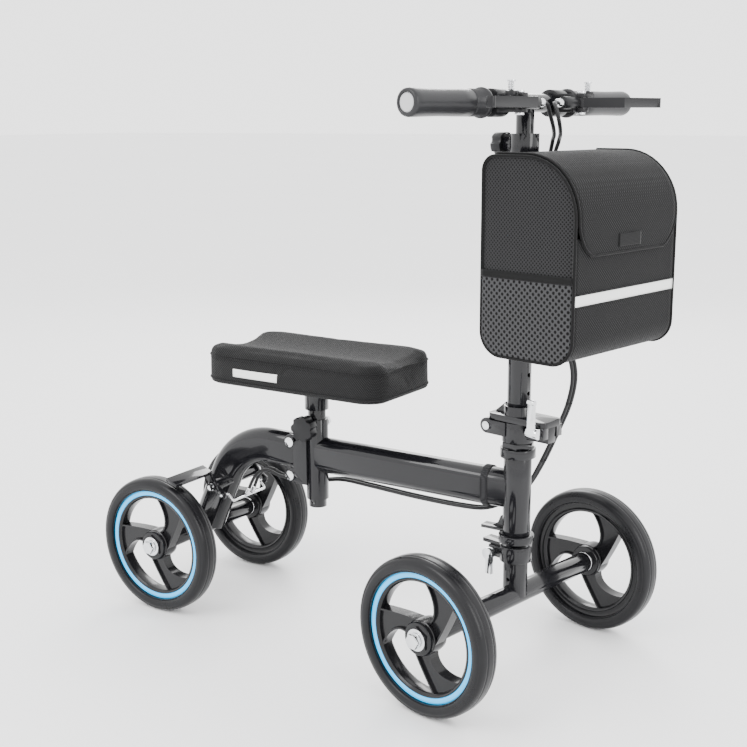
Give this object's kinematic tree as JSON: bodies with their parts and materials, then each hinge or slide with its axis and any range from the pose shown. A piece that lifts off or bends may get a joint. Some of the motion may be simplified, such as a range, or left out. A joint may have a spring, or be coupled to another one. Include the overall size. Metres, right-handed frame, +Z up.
{
  "type": "knee scooter",
  "caption": "Folding knee scooter with a steered front axle, a padded knee rest on a sliding post, swirl-spoked wheels, hand brake levers and a lidded front basket.",
  "frame": {"origin": "on the floor, under the middle of the scooter's overall box", "axes": "+X points forward, the way the scooter rolls, +Y to the rider's left, +Z up"},
  "size_m": [0.8022, 0.428, 0.7605],
  "materials": {
    "frame_paint": "gloss",
    "black_plastic": "satin",
    "wheel_plastic": "satin",
    "tyre_rubber": "matte",
    "grip_rubber": "satin",
    "chrome_steel": "gloss",
    "pad_mesh": "matte",
    "basket_fabric": "matte",
    "cable_sleeve": "satin"
  },
  "bodies": {
    "frame": {"main_beam": "frame_paint", "head_tube": "frame_paint", "headset_cups": "frame_paint", "seat_tube": "frame_paint", "seat_bracket": "frame_paint", "rear_stay": "frame_paint", "rear_axle_tube": "frame_paint", "frame_bolts": "chrome_steel", "cable_strap": "basket_fabric", "brake_cable_left": "cable_sleeve", "brake_cable_right": "cable_sleeve"},
    "steering": {"steerer_tube": "frame_paint", "steerer_stub": "frame_paint", "front_axle_tube": "frame_paint", "front_axle_bolts": "chrome_steel", "clamp_sleeve": "frame_paint", "steering_locknut": "frame_paint", "hinge_lower": "frame_paint", "hinge_pin": "chrome_steel"},
    "clamp_lever": {"clamp_lever": "chrome_steel"},
    "column": {"hinge_upper": "frame_paint", "column_tube": "frame_paint", "column_collar": "frame_paint", "latch_skewer": "chrome_steel", "basket_shell": "basket_fabric", "basket_straps": "basket_fabric"},
    "latch_lever": {"latch_lever": "chrome_steel"},
    "height_knob": {"height_knob": "black_plastic"},
    "stem": {"stem_tube": "frame_paint", "handlebar": "frame_paint", "grip_left": "grip_rubber", "grip_right": "grip_rubber", "lever_perch_left": "black_plastic", "lever_perch_right": "black_plastic", "lever_hardware": "chrome_steel"},
    "brake_lever_left": {"brake_lever_left": "black_plastic"},
    "brake_lever_right": {"brake_lever_right": "black_plastic"},
    "lock_pin_left": {"lock_pin_left": "chrome_steel"},
    "lock_pin_right": {"lock_pin_right": "chrome_steel"},
    "basket_lid": {"basket_lid": "basket_fabric"},
    "knee_rest": {"seat_post": "frame_paint", "pad_plate": "frame_paint", "knee_pad": "pad_mesh"},
    "seat_knob": {"seat_knob": "black_plastic"},
    "brake": {"brake_arms": "frame_paint", "brake_bail": "chrome_steel"},
    "front_left_wheel": {"front_left_rim": "wheel_plastic", "front_left_tyre": "tyre_rubber", "front_left_bearings": "chrome_steel"},
    "front_right_wheel": {"front_right_rim": "wheel_plastic", "front_right_tyre": "tyre_rubber", "front_right_bearings": "chrome_steel"},
    "rear_left_wheel": {"rear_left_rim": "wheel_plastic", "rear_left_tyre": "tyre_rubber", "rear_left_bearings": "chrome_steel"},
    "rear_right_wheel": {"rear_right_rim": "wheel_plastic", "rear_right_tyre": "tyre_rubber", "rear_right_bearings": "chrome_steel"},
    "head_bearings": {"head_bearings": "chrome_steel"}
  },
  "joints": [
    {"name": "steering_turn", "type": "hinge", "parent": "frame", "child": "head_bearings", "pos_m": [0.231, 0, 0.24], "axis": [0, 0, -1], "range_deg": [-46, 25], "deforming": ["brake_cable_left", "brake_cable_right"]},
    {"name": "steering_swing", "type": "hinge", "parent": "head_bearings", "child": "steering", "pos_m": [0.231, 0, 0.24], "axis": [0, 0, -1], "range_deg": [0, 60]},
    {"name": "fold_hinge", "type": "hinge", "parent": "steering", "child": "column", "pos_m": [0.19659, 0.00638, 0.33], "axis": [-0.1822, -0.9833, 0], "range_deg": [0, 104], "deforming": ["brake_cable_left", "brake_cable_right"]},
    {"name": "clamp_lever_turn", "type": "hinge", "parent": "steering", "child": "clamp_lever", "pos_m": [0.20445, 0.00492, 0.158], "axis": [0.1822, 0.9833, 0], "range_deg": [0, 100]},
    {"name": "fold_latch", "type": "hinge", "parent": "column", "child": "latch_lever", "pos_m": [0.26836, -0.03438, 0.334], "axis": [0.9833, -0.1822, 0], "range_deg": [0, 100]},
    {"name": "height_knob_turn", "type": "hinge", "parent": "column", "child": "height_knob", "pos_m": [0.2015, 0.00547, 0.686], "axis": [0.9833, -0.1822, 0], "range_deg": [0, 360]},
    {"name": "stem_slide", "type": "slide", "parent": "column", "child": "stem", "axis": [0, 0, 1], "range_m": [0, 0.15], "deforming": ["brake_cable_left", "brake_cable_right"]},
    {"name": "brake_lever_left_pull", "type": "hinge", "parent": "stem", "child": "brake_lever_left", "pos_m": [0.27966, 0.05404, 0.735], "axis": [0, 0, 1], "range_deg": [0, 20], "stiffness_Nm_per_rad": 0.5, "springref_deg": -5.73},
    {"name": "lock_pin_left_press", "type": "slide", "parent": "stem", "child": "lock_pin_left", "axis": [0, 0, -1], "range_m": [0, 0.006], "stiffness_N_per_m": 200, "springref_m": -0.002},
    {"name": "brake_lever_right_pull", "type": "hinge", "parent": "stem", "child": "brake_lever_right", "pos_m": [0.25706, -0.06789, 0.735], "axis": [0, 0, -1], "range_deg": [0, 20], "stiffness_Nm_per_rad": 0.5, "springref_deg": -5.73},
    {"name": "lock_pin_right_press", "type": "slide", "parent": "stem", "child": "lock_pin_right", "axis": [0, 0, -1], "range_m": [0, 0.006], "stiffness_N_per_m": 200, "springref_m": -0.002},
    {"name": "lid_lift", "type": "hinge", "parent": "column", "child": "basket_lid", "pos_m": [0.26787, -0.00683, 0.6775], "axis": [-0.1822, -0.9833, 0], "range_deg": [0, 28]},
    {"name": "knee_rest_slide", "type": "slide", "parent": "frame", "child": "knee_rest", "axis": [0, 0, 1], "range_m": [-0.01, 0.075]},
    {"name": "seat_knob_turn", "type": "hinge", "parent": "frame", "child": "seat_knob", "pos_m": [-0.089, -0.03, 0.289], "axis": [0, -1, 0], "range_deg": [0, 360]},
    {"name": "brake_swing", "type": "hinge", "parent": "frame", "child": "brake", "pos_m": [-0.247, 0, 0.182], "axis": [0, -1, 0], "range_deg": [0, 15]},
    {"name": "front_left_spin", "type": "hinge", "parent": "steering", "child": "front_left_wheel", "pos_m": [0.26344, 0.17502, 0.1015], "axis": [0.1822, 0.9833, 0], "continuous": true},
    {"name": "front_right_spin", "type": "hinge", "parent": "steering", "child": "front_right_wheel", "pos_m": [0.19856, -0.17502, 0.1015], "axis": [0.1822, 0.9833, 0], "continuous": true},
    {"name": "rear_left_spin", "type": "hinge", "parent": "frame", "child": "rear_left_wheel", "pos_m": [-0.3, 0.1115, 0.1015], "axis": [0, 1, 0], "continuous": true},
    {"name": "rear_right_spin", "type": "hinge", "parent": "frame", "child": "rear_right_wheel", "pos_m": [-0.3, -0.1115, 0.1015], "axis": [0, 1, 0], "continuous": true}
  ],
  "couplings": [
    {"joint": "brake_swing", "follows": "brake_lever_right_pull", "ratio": 0.75},
    {"joint": "steering_swing", "follows": "fold_hinge", "ratio": 0.57692}
  ]
}
